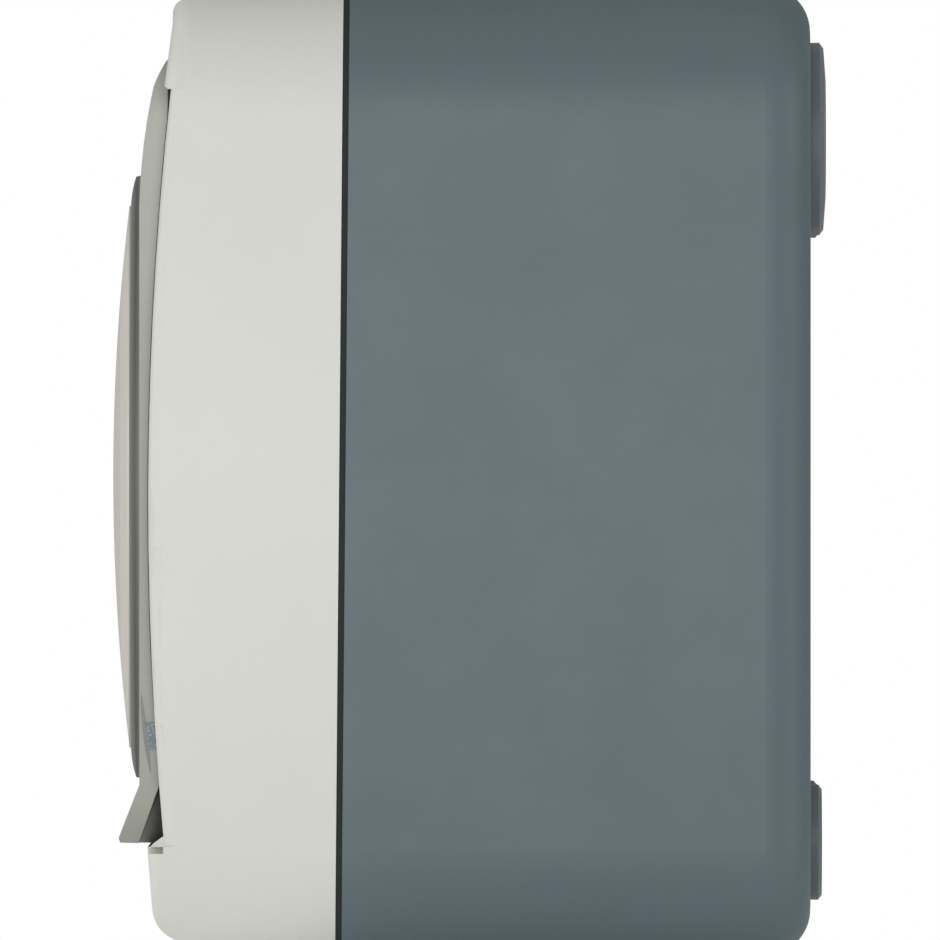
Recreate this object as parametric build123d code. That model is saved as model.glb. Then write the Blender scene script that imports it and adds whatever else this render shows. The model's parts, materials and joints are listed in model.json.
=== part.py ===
from build123d import *
import math
import os

# Punch time clock, modelled upright as it stands or hangs.
# Frame: +X to the user's right, -Y towards the user, +Z up, origin under its middle.
# All sizes are millimetres.

# Case
CASE_HALF_WIDTH = 89.0
CASE_BOTTOM = 2.4
CASE_TOP = 215.6
CORNER_TOP = 30.0
CORNER_BOTTOM = 23.0
WALL = 2.5
REAR_FACE = 74.9
REAR_ROUND = 10.0
SEAM_Y = -27.9
SEAM_MID_Z = 107.6
SEAM_TILT = 0.5
GASKET_THICKNESS = 1.4
GASKET_INSET = 0.4

# Front cover, seen from the side
CHIN_FRONT = -70.7
CHIN_TOP = 26.4
CHIN_FOOT = (-69.2, 6.9)
CHIN_ROUND = 8.0
NOTCH_BOTTOM = 24.9
NOTCH_DEPTH = 9.0
LEDGE_X = 82.65
LEDGE_HALF_WIDTH = 3.85
RIM_LOW = (-67.2, 29.0)
RIM_MID = (-70.5, 104.7)
RIM_HIGH = (-65.5, 192.7)
BROW_LOW = (-66.9, 193.7)
BROW_HIGH = (-65.2, 207.2)
BROW_CREST = (-65.2, 212.0)
BROW_CREST_ROUND = 3.2
BROW_ROUND = 4.0
BROW_LIP_CHAMFER = 0.7
BROW_LIP_SLOPE = 0.9
FLAT_FRONT = -50.0
RIM_ROUND = 3.2

# Lid recess in the front cover
RECESS_HALF_WIDTH = 78.5
RECESS_TOP = 200.6
RECESS_FLOOR = -61.5
FLOOR_BACK = -59.0
RECESS_CORNER_TOP = 6.0
RECESS_CORNER_BOTTOM = 12.0

# Lid
LID_HALF_WIDTH = 77.8
LID_BOTTOM = 26.7
LID_TOP = 199.3
LID_CORNER_TOP = 14.0
LID_CORNER_BOTTOM = 11.3
LID_FACE = -72.5
LID_BACK = -64.5
LID_SKIN = 2.0
LID_HOLLOW = (45.0, 190.0)
LIP_START = 40.0
LIP_TIP = (-77.1, 28.3)
LIP_EDGE = (-76.8, 27.2)
LIP_THICKNESS = 4.4
HINGE_Y = -65.5
HINGE_Z = 196.2
KNUCKLE_RADIUS = 1.8
PIN_RADIUS = 0.9
LUG_SPANS = ((-66.0, -58.0), (-6.0, 6.0), (58.0, 66.0))

# Round window on the lid, over the dial
DISC_Z = 107.6
BEZEL_RADIUS = 66.8
DOME_RADIUS = 60.0
LENS_RADIUS = 42.0
DOME_APEX = -78.9
DOME_SPHERE = 500.0
LENS_THICKNESS = 1.6

# Dial and hands
DIAL_OPENING = 50.0
DIAL_RADIUS = 53.0
DIAL_THICKNESS = 1.2
HOUR_HAND_REACH = 25.0
MINUTE_HAND_REACH = 37.0

# Set keys and display under the dial
KEY_Z = 40.0
KEY_XS = {"in_key": -58.0, "out_key": -44.0, "menu_key": 44.0, "enter_key": 58.0}
KEY_RADIUS = 4.0

# Card path
CARD_SLOT_HALF_WIDTH = 44.5
CHUTE_HALF_WIDTH = 47.0
CHUTE_FRONT_Y = -42.5
CHUTE_REAR_Y = -35.0
CHUTE_SHEET = 1.0
CHUTE_TOP = 203.0
CHUTE_BOTTOM = 24.0

# Card feed
FEED_Z = 140.0
FEED_Y = -30.6
FEED_ROLLER_RADIUS = 8.0
PRESSURE_Y = -45.5
PRESSURE_ROLLER_RADIUS = 6.6
PRESSURE_SHAFT_RADIUS = 1.8
ROLLER_XS = (-25.0, 25.0)
SIDE_PLATE_X = 62.0
GEAR_MODULE = 1.0
FEED_TEETH = 28
PINION_TEETH = 12
RUN = 0.05

# Print carriage
ROD_Z = 64.0
ROD_YS = (-22.0, -8.0)
ROD_RADIUS = 3.0
BELT_Y = 4.0
PULLEY_X = 48.0
PULLEY_RADIUS = 6.0
RIBBON_Z = 94.0
ARM_X = 47.5
SPOOL_X = 28.0
SPOOL_Y = -8.0
SPOOL_RADIUS = 11.0

# Main circuit board
BOARD_FRONT = 50.0
BOARD_BACK = 51.6
BOARD_CORNERS = [(x, z) for x in (-60, 60) for z in (58, 150)]

# Wall fittings and feet
HANGER_X = 50.0
HANGER_Z = 182.0
HANGER_RADIUS = 21.2
HANGER_APEX = 78.4
KEYHOLE_RADIUS = 5.0
KEYHOLE_SLOT = 2.2
BUMPER_X = 55.0
BUMPER_Z = 27.2
BUMPER_RADIUS = 12.7
BUMPER_APEX = 77.5
FOOT_X = 52.0
FRONT_FOOT_Y = -40.0
REAR_FOOT_Y = 52.0

# Key lock on the user's left
LOCK_Y = -42.0
LOCK_Z = 60.0
LOCK_RADIUS = 7.0
LOCK_CORE_RADIUS = 4.5


def block(x_span, y_span, z_span):
    """A box given by its lowest and highest value on each axis."""
    middle = [(low + high) / 2 for low, high in (x_span, y_span, z_span)]
    size = [high - low for low, high in (x_span, y_span, z_span)]
    return Pos(*middle) * Box(*size)


def rod_x(radius, x_span, y, z):
    """A round bar along X."""
    low, high = x_span
    return Pos((low + high) / 2, y, z) * Rot(0, 90, 0) * Cylinder(radius, high - low)


def rod_y(radius, x, y_span, z):
    """A round bar along Y."""
    low, high = y_span
    return Pos(x, (low + high) / 2, z) * Rot(90, 0, 0) * Cylinder(radius, high - low)


def rod_z(radius, x, y, z_span):
    """A round bar along Z."""
    low, high = z_span
    return Pos(x, y, (low + high) / 2) * Cylinder(radius, high - low)


def front_prism(half_width, z_span, corner_top, corner_bottom, y_span):
    """A rounded rectangle seen from the front, extruded along Y."""
    low, high = z_span
    middle = (low + high) / 2
    face = Pos(0, middle) * Rectangle(2 * half_width, high - low)
    face = fillet(face.vertices().group_by(Axis.Y)[-1], corner_top)
    face = fillet(face.vertices().group_by(Axis.Y)[0], corner_bottom)
    plane = Plane(origin=(0, y_span[1], 0), x_dir=(1, 0, 0), z_dir=(0, -1, 0))
    return extrude(plane * face, y_span[1] - y_span[0])


def case_prism(inset, y_span):
    """The case outline from the front, moved in by inset."""
    z_span = (CASE_BOTTOM + inset, CASE_TOP - inset)
    top = CORNER_TOP - inset
    bottom = CORNER_BOTTOM - inset
    return front_prism(CASE_HALF_WIDTH - inset, z_span, top, bottom, y_span)


def side_prism(face, half_width):
    """A profile drawn from the side (Y across, Z up), extruded both ways along X."""
    return extrude(Plane.YZ * face, half_width, both=True)


def seam_side(shift, towards_rear):
    """Everything on one side of the slightly tilted seam plane."""
    reach = 300.0
    step = reach / 2 if towards_rear else -reach / 2
    tilted = Pos(0, SEAM_Y, SEAM_MID_Z) * Rot(-SEAM_TILT, 0, 0)
    return tilted * Pos(0, shift + step, 0) * Box(reach, reach, reach)


def group(solids):
    """Several separate solids kept in one node."""
    return Compound(children=list(solids))


def turned_disc(points, x, z):
    """Revolve a profile of (radius, y) points about an axis along Y at x, z."""
    outline = make_face(Plane.XY * Polyline(*points, close=True))
    return Pos(x, 0, z) * revolve(outline, Axis.Y)


# Case shells

def rounded_front(front, radius):
    """The case outline ending at a front face with a rounded edge."""
    prism = case_prism(0, (front, 0))
    return fillet(prism.faces().sort_by(Axis.Y)[0].edges(), radius)


def cover_chin():
    """Part of the cover below the lid, with a rounded foot and a notch at each side."""
    outline = Polyline((0, CASE_BOTTOM), (FLAT_FRONT, CASE_BOTTOM), CHIN_FOOT,
                       (CHIN_FRONT, CHIN_TOP), (0, CHIN_TOP), close=True)
    profile = make_face(outline)
    profile = fillet(profile.vertices().sort_by_distance(CHIN_FOOT)[0], CHIN_ROUND)
    chin = rounded_front(CHIN_FRONT, RIM_ROUND) & side_prism(profile, CASE_HALF_WIDTH + 1)
    for side in (-1, 1):
        x_span = sorted((side * (CASE_HALF_WIDTH - NOTCH_DEPTH), side * (CASE_HALF_WIDTH + 1)))
        chin -= block(x_span, (-75, RIM_LOW[0]), (NOTCH_BOTTOM, CHIN_TOP + 1))
    return chin


def rim_ledges():
    """Small ledge at the foot of each side rim, over the notch."""
    back = RIM_LOW[0] + 1
    front = RIM_LOW[0] - 2.9
    top = CHIN_TOP + 2.2
    wedge = Polyline((back, CHIN_TOP), (front, CHIN_TOP), (front + 0.9, CHIN_TOP + 0.9), (back - 1.2, top),
                     (back, top), close=True)
    ledge = side_prism(make_face(wedge), LEDGE_HALF_WIDTH)
    return Pos(LEDGE_X, 0, 0) * ledge + Pos(-LEDGE_X, 0, 0) * ledge


def cover_rims():
    """Bowed part of the cover beside the lid: a rounded section turned about the bow's far centre."""
    bow = ThreePointArc(RIM_LOW, RIM_MID, RIM_HIGH)
    centre = bow.arc_center
    front = centre.X - bow.radius
    section = Pos(0, front / 2) * Rectangle(2 * CASE_HALF_WIDTH, -front)
    section = fillet(section.vertices().group_by(Axis.Y)[0], RIM_ROUND)
    ring = revolve(Plane(origin=(0, 0, centre.Y)) * section, Axis((0, centre.X, centre.Y), (1, 0, 0)))
    slab = block((-100, 100), (-100, 0), (CHIN_TOP - 0.01, RIM_HIGH[1]))
    return (ring & slab) & case_prism(0, (-90, 0))


def cover_brow():
    """Part of the cover above the lid: it leans forward to the lid and falls away at its crest."""
    slab = block((-100, 100), (-100, 0), (RIM_HIGH[1], 230))
    lip = (BROW_LOW[0] + BROW_LIP_CHAMFER, RIM_HIGH[1])
    beyond = (lip[0] - 15, lip[1] + 15 * BROW_LIP_SLOPE)
    outline = Polyline((0, 190), (lip[0], 190), lip, beyond, (-82, BROW_HIGH[1]), BROW_HIGH, BROW_CREST,
                       (FLAT_FRONT, CASE_TOP), (0, CASE_TOP), close=True)
    crest = make_face(outline)
    crest = fillet(crest.vertices().sort_by_distance(BROW_CREST)[0], BROW_CREST_ROUND)
    upright = rounded_front(BROW_HIGH[0], BROW_ROUND)
    lean = math.degrees(math.atan2(BROW_HIGH[0] - BROW_LOW[0], BROW_HIGH[1] - BROW_LOW[1]))
    leaning = Pos(0, *BROW_HIGH) * Rot(-lean, 0, 0) * Pos(0, -BROW_HIGH[0], -BROW_HIGH[1]) * upright
    brow = (upright + leaning) & slab
    brow = brow & side_prism(crest, CASE_HALF_WIDTH + 1)
    return brow & case_prism(0, (-90, 0))


def front_cover():
    """Light grey front shell with the lid recess, card slot, dial opening and hinge lugs."""
    shell = cover_chin() + cover_rims() + cover_brow()
    shell += rim_ledges()
    shell -= case_prism(WALL, (FLOOR_BACK, 10))
    shell &= seam_side(-GASKET_THICKNESS / 2, False)
    shell -= front_prism(RECESS_HALF_WIDTH, (CHIN_TOP, RECESS_TOP), RECESS_CORNER_TOP, RECESS_CORNER_BOTTOM,
                         (-95, RECESS_FLOOR))
    shell -= rod_y(DIAL_OPENING, 0, (-70, -50), DISC_Z)
    shell -= block((-31, 31), (-70, -50), (32.5, 47.5))
    for x in KEY_XS.values():
        shell -= rod_y(KEY_RADIUS + 0.3, x, (-70, -50), KEY_Z)
    slot_middle = (CHUTE_FRONT_Y + CHUTE_REAR_Y) / 2
    shell -= block((-49, 49), (slot_middle - 6.5, slot_middle + 6.5), (205, 220))
    shell -= rod_x(LOCK_RADIUS, (-95, -80), LOCK_Y, LOCK_Z)
    for span in LUG_SPANS:
        shell += hinge_lug(span)
    return shell


def hinge_lug(span):
    """A lug on the recess floor that carries the lid's hinge pin."""
    web = Polyline((HINGE_Y - 1.6, HINGE_Z), (HINGE_Y - 0.9, HINGE_Z - 6), (RECESS_FLOOR + 0.5, HINGE_Z - 7),
                   (RECESS_FLOOR + 0.5, HINGE_Z - 3.7), (HINGE_Y + 1.6, HINGE_Z - 0.8), close=True)
    middle = (span[0] + span[1]) / 2
    half = (span[1] - span[0]) / 2
    lug = Pos(middle, 0, 0) * side_prism(make_face(web), half)
    lug += rod_x(KNUCKLE_RADIUS, span, HINGE_Y, HINGE_Z)
    return lug - rod_x(PIN_RADIUS + RUN, (span[0] - 1, span[1] + 1), HINGE_Y, HINGE_Z)


def rear_housing():
    """Blue-grey rear shell with a rounded back and pockets for the wall fittings."""
    shell = case_prism(0, (-60, REAR_FACE))
    shell = fillet(shell.faces().sort_by(Axis.Y)[-1].edges(), REAR_ROUND)
    cavity = case_prism(WALL, (-70, REAR_FACE - WALL))
    shell -= fillet(cavity.faces().sort_by(Axis.Y)[-1].edges(), REAR_ROUND - WALL)
    shell &= seam_side(GASKET_THICKNESS / 2, True)
    for x in (-HANGER_X, HANGER_X):
        shell -= rod_y(HANGER_RADIUS - 4, x, (60, 90), HANGER_Z)
    for x in (-BUMPER_X, BUMPER_X):
        shell -= rod_y(4.0, x, (60, 90), BUMPER_Z)
    shell -= rod_y(5.0, 0, (60, 90), BUMPER_Z)
    for x in (-FOOT_X, FOOT_X):
        shell -= rod_z(3.0, x, REAR_FOOT_Y, (0, 10))
    for z in range(60, 150, 10):
        shell -= block((-24, 24), (60, 90), (z, z + 4))
    return shell


def seam_gasket():
    """Black rubber gasket that fills the seam."""
    ring = case_prism(GASKET_INSET, (-40, -10)) - case_prism(WALL, (-45, -5))
    ring &= seam_side(-GASKET_THICKNESS / 2 + 0.05, True)
    return ring & seam_side(GASKET_THICKNESS / 2, False)


def hanger(x):
    """A domed wall boss with a keyhole, plugged into the rear face."""
    rim = HANGER_RADIUS
    plug = rim - 4.1
    points = ((0, 70), (plug, 70), (plug, REAR_FACE), (rim, REAR_FACE), (rim, 77.0), (rim - 1.2, 77.9),
              (rim - 8, HANGER_APEX), (0, HANGER_APEX))
    boss = turned_disc(points, x, HANGER_Z)
    boss -= rod_y(KEYHOLE_RADIUS, x, (60, 90), HANGER_Z - 3)
    slot = block((x - KEYHOLE_SLOT, x + KEYHOLE_SLOT), (60, 90), (HANGER_Z - 3, HANGER_Z + 8))
    return boss - slot


def hanger_bosses():
    """Both wall bosses."""
    return group(hanger(x) for x in (-HANGER_X, HANGER_X))


def wall_bumpers():
    """Two smaller discs that hold the clock's foot off the wall."""
    rim = BUMPER_RADIUS
    plug = 3.9
    points = ((0, 70), (plug, 70), (plug, REAR_FACE), (rim, REAR_FACE), (rim, 76.7),
              (rim - 1, BUMPER_APEX), (0, BUMPER_APEX))
    return group(turned_disc(points, x, BUMPER_Z) for x in (-BUMPER_X, BUMPER_X))


def foot(x, y, plug_top):
    """A round rubber foot with a plug pressed into the case."""
    pad = rod_z(8.0, x, y, (0, CASE_BOTTOM))
    pad = fillet(pad.edges().group_by(Axis.Z)[0], 0.8)
    if plug_top > CASE_BOTTOM:
        pad += rod_z(2.9, x, y, (CASE_BOTTOM, plug_top))
    return pad


def rear_feet():
    """Feet under the rear housing."""
    return group(foot(x, REAR_FOOT_Y, CASE_BOTTOM + 3.5) for x in (-FOOT_X, FOOT_X))


def front_feet():
    """Feet glued under the front cover."""
    return group(foot(x, FRONT_FOOT_Y, CASE_BOTTOM) for x in (-FOOT_X, FOOT_X))


# Lid

def lid_side_profile():
    """Side view of the lid, with its flared finger lip."""
    crown = (-69.4, 193.3)
    shoulder = (LID_FACE, 167.0)
    edges = ThreePointArc((HINGE_Y - 1.0, LID_TOP), (-68.0, 196.6), crown)
    edges += ThreePointArc(crown, (-71.4, 181.8), shoulder)
    lip_inside = ((LIP_TIP[0] + LIP_THICKNESS, LIP_EDGE[1] - 0.1), (LID_FACE + LIP_THICKNESS, LIP_START))
    edges += Polyline(shoulder, (LID_FACE, LIP_START), LIP_TIP, LIP_EDGE, *lip_inside,
                      (LID_BACK, LIP_START + 3), (LID_BACK, LID_TOP), (HINGE_Y - 1.0, LID_TOP))
    return make_face(edges)


def lid_shell():
    """Mid-grey lid that hangs from a pin at its top edge."""
    top, bottom = LID_CORNER_TOP, LID_CORNER_BOTTOM
    shell = front_prism(LID_HALF_WIDTH, (LID_BOTTOM, LID_TOP), top, bottom, (-90, -50))
    shell &= side_prism(lid_side_profile(), LID_HALF_WIDTH + 1)
    back = LID_FACE + LID_SKIN
    low, high = LID_HOLLOW
    inside = Polyline((back, low), (back, high - 22), (back + 1.6, high - 4), (back + 2.5, high),
                      (-50, high), (-50, low), close=True)
    hollow = front_prism(LID_HALF_WIDTH - LID_SKIN, LID_HOLLOW, top - LID_SKIN, bottom - LID_SKIN, (back, -50))
    shell -= hollow & side_prism(make_face(inside), LID_HALF_WIDTH)
    shell -= rod_y(LENS_RADIUS + 2, 0, (-80, -60), DISC_Z)
    for low, high in LUG_SPANS:
        gap = (low - 0.4, high + 0.4)
        shell -= rod_x(KNUCKLE_RADIUS + 0.35, gap, HINGE_Y, HINGE_Z)
        shell -= block(gap, (HINGE_Y, -50), (185, 205))
        shell -= block(gap, (HINGE_Y - 1.9, -50), (185, HINGE_Z))
    return shell - rod_x(PIN_RADIUS + RUN, (-72, 72), HINGE_Y, HINGE_Z)


def lip_grip():
    """Dark rubber pad behind the lip, for the fingertips."""
    low = LIP_EDGE[1]
    inner_low = (LIP_TIP[0] + LIP_THICKNESS + 0.12, low)
    inner_high = (LID_FACE + LIP_THICKNESS, LIP_START)
    pad = make_face(Polyline(inner_low, (-67.0, low), (-66.6, LIP_START), inner_high, close=True))
    outline = front_prism(LID_HALF_WIDTH - 1.5, (LID_BOTTOM + 0.3, LID_TOP), 9.8, 9.8, (-90, -50))
    return side_prism(pad, LID_HALF_WIDTH) & outline


def hinge_pin():
    """Steel pin through the cover's lugs and the lid."""
    return rod_x(PIN_RADIUS, (-68, 68), HINGE_Y, HINGE_Z)


def dome_y(radius):
    """Height of the domed face at a radius from its middle."""
    return DOME_APEX + DOME_SPHERE - math.sqrt(DOME_SPHERE ** 2 - radius ** 2)


def bezel_ring():
    """Dark ring around the dome, with a softly swelled face."""
    inner = DOME_RADIUS + 0.2
    outer_edge = (BEZEL_RADIUS - 0.3, LID_FACE - 1.3)
    swell = (BEZEL_RADIUS - 2.6, LID_FACE - 1.95)
    inner_edge = (inner + 0.8, LID_FACE - 2.4)
    edges = Polyline((inner, LID_FACE), (BEZEL_RADIUS, LID_FACE), outer_edge)
    edges += ThreePointArc(outer_edge, swell, inner_edge)
    edges += Polyline(inner_edge, (inner, LID_FACE - 2.4), (inner, LID_FACE))
    return Pos(0, 0, DISC_Z) * revolve(make_face(edges), Axis.Y)


def dome_ring():
    """Light domed ring that frames the lens."""
    inner = LENS_RADIUS + 0.1
    middle = (inner + DOME_RADIUS) / 2
    inner_edge = (inner, dome_y(inner))
    outer_edge = (DOME_RADIUS, dome_y(DOME_RADIUS))
    edges = Polyline(inner_edge, (inner, LID_FACE), (DOME_RADIUS, LID_FACE), outer_edge)
    edges += ThreePointArc(outer_edge, (middle, dome_y(middle)), inner_edge)
    return Pos(0, 0, DISC_Z) * revolve(make_face(edges), Axis.Y)


def lens():
    """Clear lens that carries on the dome's curve, held by a flange under the ring."""
    rim = LENS_RADIUS - 0.05
    flange = LENS_RADIUS + 1.8
    inner = rim - LENS_THICKNESS
    middle = rim / 2
    edges = ThreePointArc((0, DOME_APEX), (middle, dome_y(middle)), (rim, dome_y(rim)))
    under_rim = (inner, dome_y(inner) + LENS_THICKNESS)
    under_middle = (middle, dome_y(middle) + LENS_THICKNESS)
    under_apex = (0, DOME_APEX + LENS_THICKNESS)
    edges += Polyline((rim, dome_y(rim)), (rim, LID_FACE), (flange, LID_FACE), (flange, LID_FACE + 1),
                      (inner, LID_FACE + 1), under_rim)
    edges += ThreePointArc(under_rim, under_middle, under_apex)
    edges += Line(under_apex, (0, DOME_APEX))
    return Pos(0, 0, DISC_Z) * revolve(make_face(edges), Axis.Y)


# Dial, hands and movement

def dial_plate():
    """White dial behind the round opening."""
    plate = rod_y(DIAL_RADIUS, 0, (FLOOR_BACK, FLOOR_BACK + DIAL_THICKNESS), DISC_Z)
    return plate - rod_y(4.05, 0, (-62, -55), DISC_Z)


def movement_case():
    """Quartz movement with the hub that passes through the dial."""
    back = FLOOR_BACK + DIAL_THICKNESS
    box = block((-25, 25), (back, -48.5), (DISC_Z - 25, DISC_Z + 25))
    box = fillet(box.edges().filter_by(Axis.Y), 4)
    box += rod_y(3.95, 0, (FLOOR_BACK - 0.6, back), DISC_Z)
    return box - rod_y(2.3, 0, (-65, back + 1.6), DISC_Z)


def hand_blade(y_span, reach, width, tail):
    """A tapered hand blade that points up, with a round boss."""
    outline = Polyline((-width / 2, -tail), (width / 2, -tail), (width * 0.62, reach * 0.6), (0, reach),
                       (-width * 0.62, reach * 0.6), close=True)
    plane = Plane(origin=(0, y_span[1], DISC_Z), x_dir=(1, 0, 0), z_dir=(0, -1, 0))
    return extrude(plane * make_face(outline), y_span[1] - y_span[0])


def hour_hand():
    """Hour hand on its pipe."""
    blade = hand_blade((-61.1, -60.4), HOUR_HAND_REACH, 4.2, 5)
    blade += rod_y(2.2, 0, (-61.1, FLOOR_BACK + DIAL_THICKNESS + 0.8), DISC_Z)
    blade += rod_y(4.2, 0, (-61.1, -60.4), DISC_Z)
    blade = Pos(0, 0, DISC_Z) * Rot(0, -60, 0) * Pos(0, 0, -DISC_Z) * blade
    return blade - rod_y(1.05, 0, (-65, -50), DISC_Z)


def minute_hand():
    """Minute hand on its arbor."""
    blade = hand_blade((-62.3, -61.6), MINUTE_HAND_REACH, 3.2, 7)
    blade += rod_y(1.0, 0, (-62.3, FLOOR_BACK + DIAL_THICKNESS + 0.8), DISC_Z)
    blade += rod_y(3.4, 0, (-62.3, -61.6), DISC_Z)
    return Pos(0, 0, DISC_Z) * Rot(0, 60, 0) * Pos(0, 0, -DISC_Z) * blade


# Display and keys

def display_module():
    """Liquid crystal display in a black frame, set in the recess floor."""
    frame = block((-30.8, 30.8), (RECESS_FLOOR - 0.8, -54), (32.7, 47.3))
    return frame - block((-27, 27), (-70, -60.5), (34.9, 45.1))


def display_glass():
    """Glass of the display."""
    return block((-26.9, 26.9), (-61.6, -60.5), (35.0, 45.0))


def set_key(x):
    """Round key cap with a stem towards its switch."""
    cap = rod_y(KEY_RADIUS, x, (-63.3, -57.0), KEY_Z)
    cap = fillet(cap.edges().group_by(Axis.Y)[0], 0.8)
    return cap + rod_y(KEY_RADIUS + 1.5, x, (-58.6, -57.0), KEY_Z)


def key_board():
    """Circuit board behind the keys and the display."""
    return block((-70, 70), (-53.0, -51.4), (30, 50))


# Lock

def lock_body():
    """Fixed sleeve of the key lock."""
    sleeve = rod_x(LOCK_RADIUS - 0.05, (-CASE_HALF_WIDTH, -72), LOCK_Y, LOCK_Z)
    return sleeve - rod_x(LOCK_CORE_RADIUS + RUN, (-100, -60), LOCK_Y, LOCK_Z)


def lock_core():
    """Turning core with a keyway."""
    core = rod_x(LOCK_CORE_RADIUS, (-88.8, -68.4), LOCK_Y, LOCK_Z)
    return core - block((-95, -82), (LOCK_Y - 0.6, LOCK_Y + 0.6), (LOCK_Z - 3, LOCK_Z + 3))


def lock_cam():
    """Steel cam on the inner end of the core."""
    cam = block((-71.4, -69.4), (LOCK_Y - 5, LOCK_Y + 5), (LOCK_Z - 5, LOCK_Z + 15.5))
    return cam - rod_x(LOCK_CORE_RADIUS, (-75, -65), LOCK_Y, LOCK_Z)


def lock_keeper():
    """Slotted bracket in the rear housing that the cam turns into."""
    plate = block((-86.5, -66), (-26.9, -25.4), (50, 70))
    return plate - block((-73, -60), (-30, -20), (53.5, 66.5))


# Card path

def card_throat():
    """Funnel insert at the card slot."""
    middle = (CHUTE_FRONT_Y + CHUTE_REAR_Y) / 2
    body = block((-48.9, 48.9), (middle - 6.4, middle + 6.4), (205, CASE_TOP))
    inner = block((-CARD_SLOT_HALF_WIDTH, CARD_SLOT_HALF_WIDTH), (middle - 3.5, middle + 3.5), (200, 220))
    body -= inner
    mouth = body.edges().group_by(Axis.Z)[-1].filter_by(lambda edge: abs(edge.center().Y - middle) < 4)
    return chamfer(mouth, 1.2)


def chute_sheet(y, window_low, window_high):
    """One sheet of the card chute with windows for the rollers and the printer."""
    sheet = block((-CHUTE_HALF_WIDTH, CHUTE_HALF_WIDTH), (y, y + CHUTE_SHEET), (CHUTE_BOTTOM, CHUTE_TOP))
    sheet -= block((-42, 42), (y - 2, y + 3), (window_low, window_high))
    for x in ROLLER_XS:
        sheet -= block((x - 8, x + 8), (y - 2, y + 3), (FEED_Z - 10, FEED_Z + 10))
    return sheet


def chute_front():
    """Front sheet of the card chute."""
    return chute_sheet(CHUTE_FRONT_Y - CHUTE_SHEET, RIBBON_Z - 8, RIBBON_Z + 8)


def chute_rear():
    """Rear sheet of the card chute, bent forward at its foot to stop the card."""
    sheet = chute_sheet(CHUTE_REAR_Y, RIBBON_Z - 26, RIBBON_Z + 8)
    stop_z = (CHUTE_BOTTOM, CHUTE_BOTTOM + CHUTE_SHEET)
    return sheet + block((-CHUTE_HALF_WIDTH, CHUTE_HALF_WIDTH), (CHUTE_FRONT_Y, CHUTE_REAR_Y), stop_z)


# Printer

def side_plates():
    """Two steel plates that carry every shaft of the printer."""
    plates = []
    for x in (-SIDE_PLATE_X, SIDE_PLATE_X):
        span = (x - 1, x + 1)
        wide = (x - 3, x + 3)
        plate = block(span, (-50, 20), (12, 156))
        plate -= rod_x(3 + RUN, wide, FEED_Y, FEED_Z)
        plate -= rod_x(PRESSURE_SHAFT_RADIUS + RUN, wide, PRESSURE_Y, FEED_Z)
        for y in ROD_YS:
            plate -= rod_x(ROD_RADIUS + 0.02, wide, y, ROD_Z)
        plate -= rod_x(4, wide, FEED_Y + gear_spacing(), FEED_Z)
        plate -= block(wide, (BELT_Y - 9, BELT_Y + 9), (ROD_Z + 8, ROD_Z + 16))
        plates.append(plate)
    return group(plates)


def chassis_tray():
    """Base tray that the side plates and the transformer stand on."""
    tray = block((-66, 66), (-50, 68), (10, 12))
    for x in (-FOOT_X, FOOT_X):
        tray += rod_z(4, x, 40, (CASE_BOTTOM + WALL, 10))
        tray += rod_z(4, x, -10, (CASE_BOTTOM + WALL, 10))
    return tray


def guide_rods():
    """Two ground rods that the carriage slides on."""
    return group(rod_x(ROD_RADIUS, (-63, 63), y, ROD_Z) for y in ROD_YS)


def carriage():
    """Moulded carriage with bushed bores for the guide rods."""
    body = block((-15, 15), (-29, -3.8), (ROD_Z - 6, ROD_Z + 6))
    for y in ROD_YS:
        body -= rod_x(ROD_RADIUS + RUN, (-20, 20), y, ROD_Z)
    return body


def print_head():
    """Dot-matrix print head with its nose behind the ribbon."""
    body = block((-10, 10), (-28, -10), (ROD_Z + 6, RIBBON_Z - 8))
    for fin_y in range(-27, -12, 4):
        body += block((-11, 11), (fin_y, fin_y + 1), (ROD_Z + 8, RIBBON_Z - 8.5))
    return body + block((-6, 6), (-36.2, -28), (ROD_Z + 8, RIBBON_Z + 4))


def ribbon_shell():
    """Flat ribbon cartridge with two arms that hold the ribbon across the chute."""
    low, high = RIBBON_Z - 6, RIBBON_Z + 6
    shell = block((-54, 54), (-24, 12), (low, high))
    shell -= block((-52.5, 52.5), (-22.5, 10.5), (low + 1.5, high - 1.5))
    for side in (-1, 1):
        x_span = sorted((side * ARM_X, side * 54))
        shell += block(x_span, (-37.5, -24), (low, high))
        shell -= rod_z(2.5, side * SPOOL_X, SPOOL_Y, (low - 1, high + 1))
    return shell


def ribbon():
    """Inked ribbon stretched between the arms."""
    return block((-ARM_X, ARM_X), (-37.3, -36.9), (RIBBON_Z - 5, RIBBON_Z + 5))


def ribbon_spool(side):
    """Spool inside the cartridge."""
    spool = rod_z(SPOOL_RADIUS, side * SPOOL_X, SPOOL_Y, (RIBBON_Z - 4, RIBBON_Z + 4))
    return spool + rod_z(2.4, side * SPOOL_X, SPOOL_Y, (RIBBON_Z - 7, RIBBON_Z + 7.5))


def platen_bar():
    """Hard rubber bar on a stiff back, held between the side plates."""
    face = block((-41, 41), (-46.6, -40.2), (RIBBON_Z - 7, RIBBON_Z + 7))
    return face + block((-61, 61), (-48.2, -46.5), (RIBBON_Z - 7, RIBBON_Z + 7))


def feed_shaft():
    """Steel shaft of the card feed."""
    return rod_x(3, (-64, 71), FEED_Y, FEED_Z)


def roller_pair(radius, bore, y):
    """Two rubber rollers on one shaft."""
    rollers = []
    for x in ROLLER_XS:
        roller = rod_x(radius, (x - 6, x + 6), y, FEED_Z)
        rollers.append(roller - rod_x(bore, (x - 7, x + 7), y, FEED_Z))
    return group(rollers)


def feed_rollers():
    """Driven rubber rollers."""
    return roller_pair(FEED_ROLLER_RADIUS, 3, FEED_Y)


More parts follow.
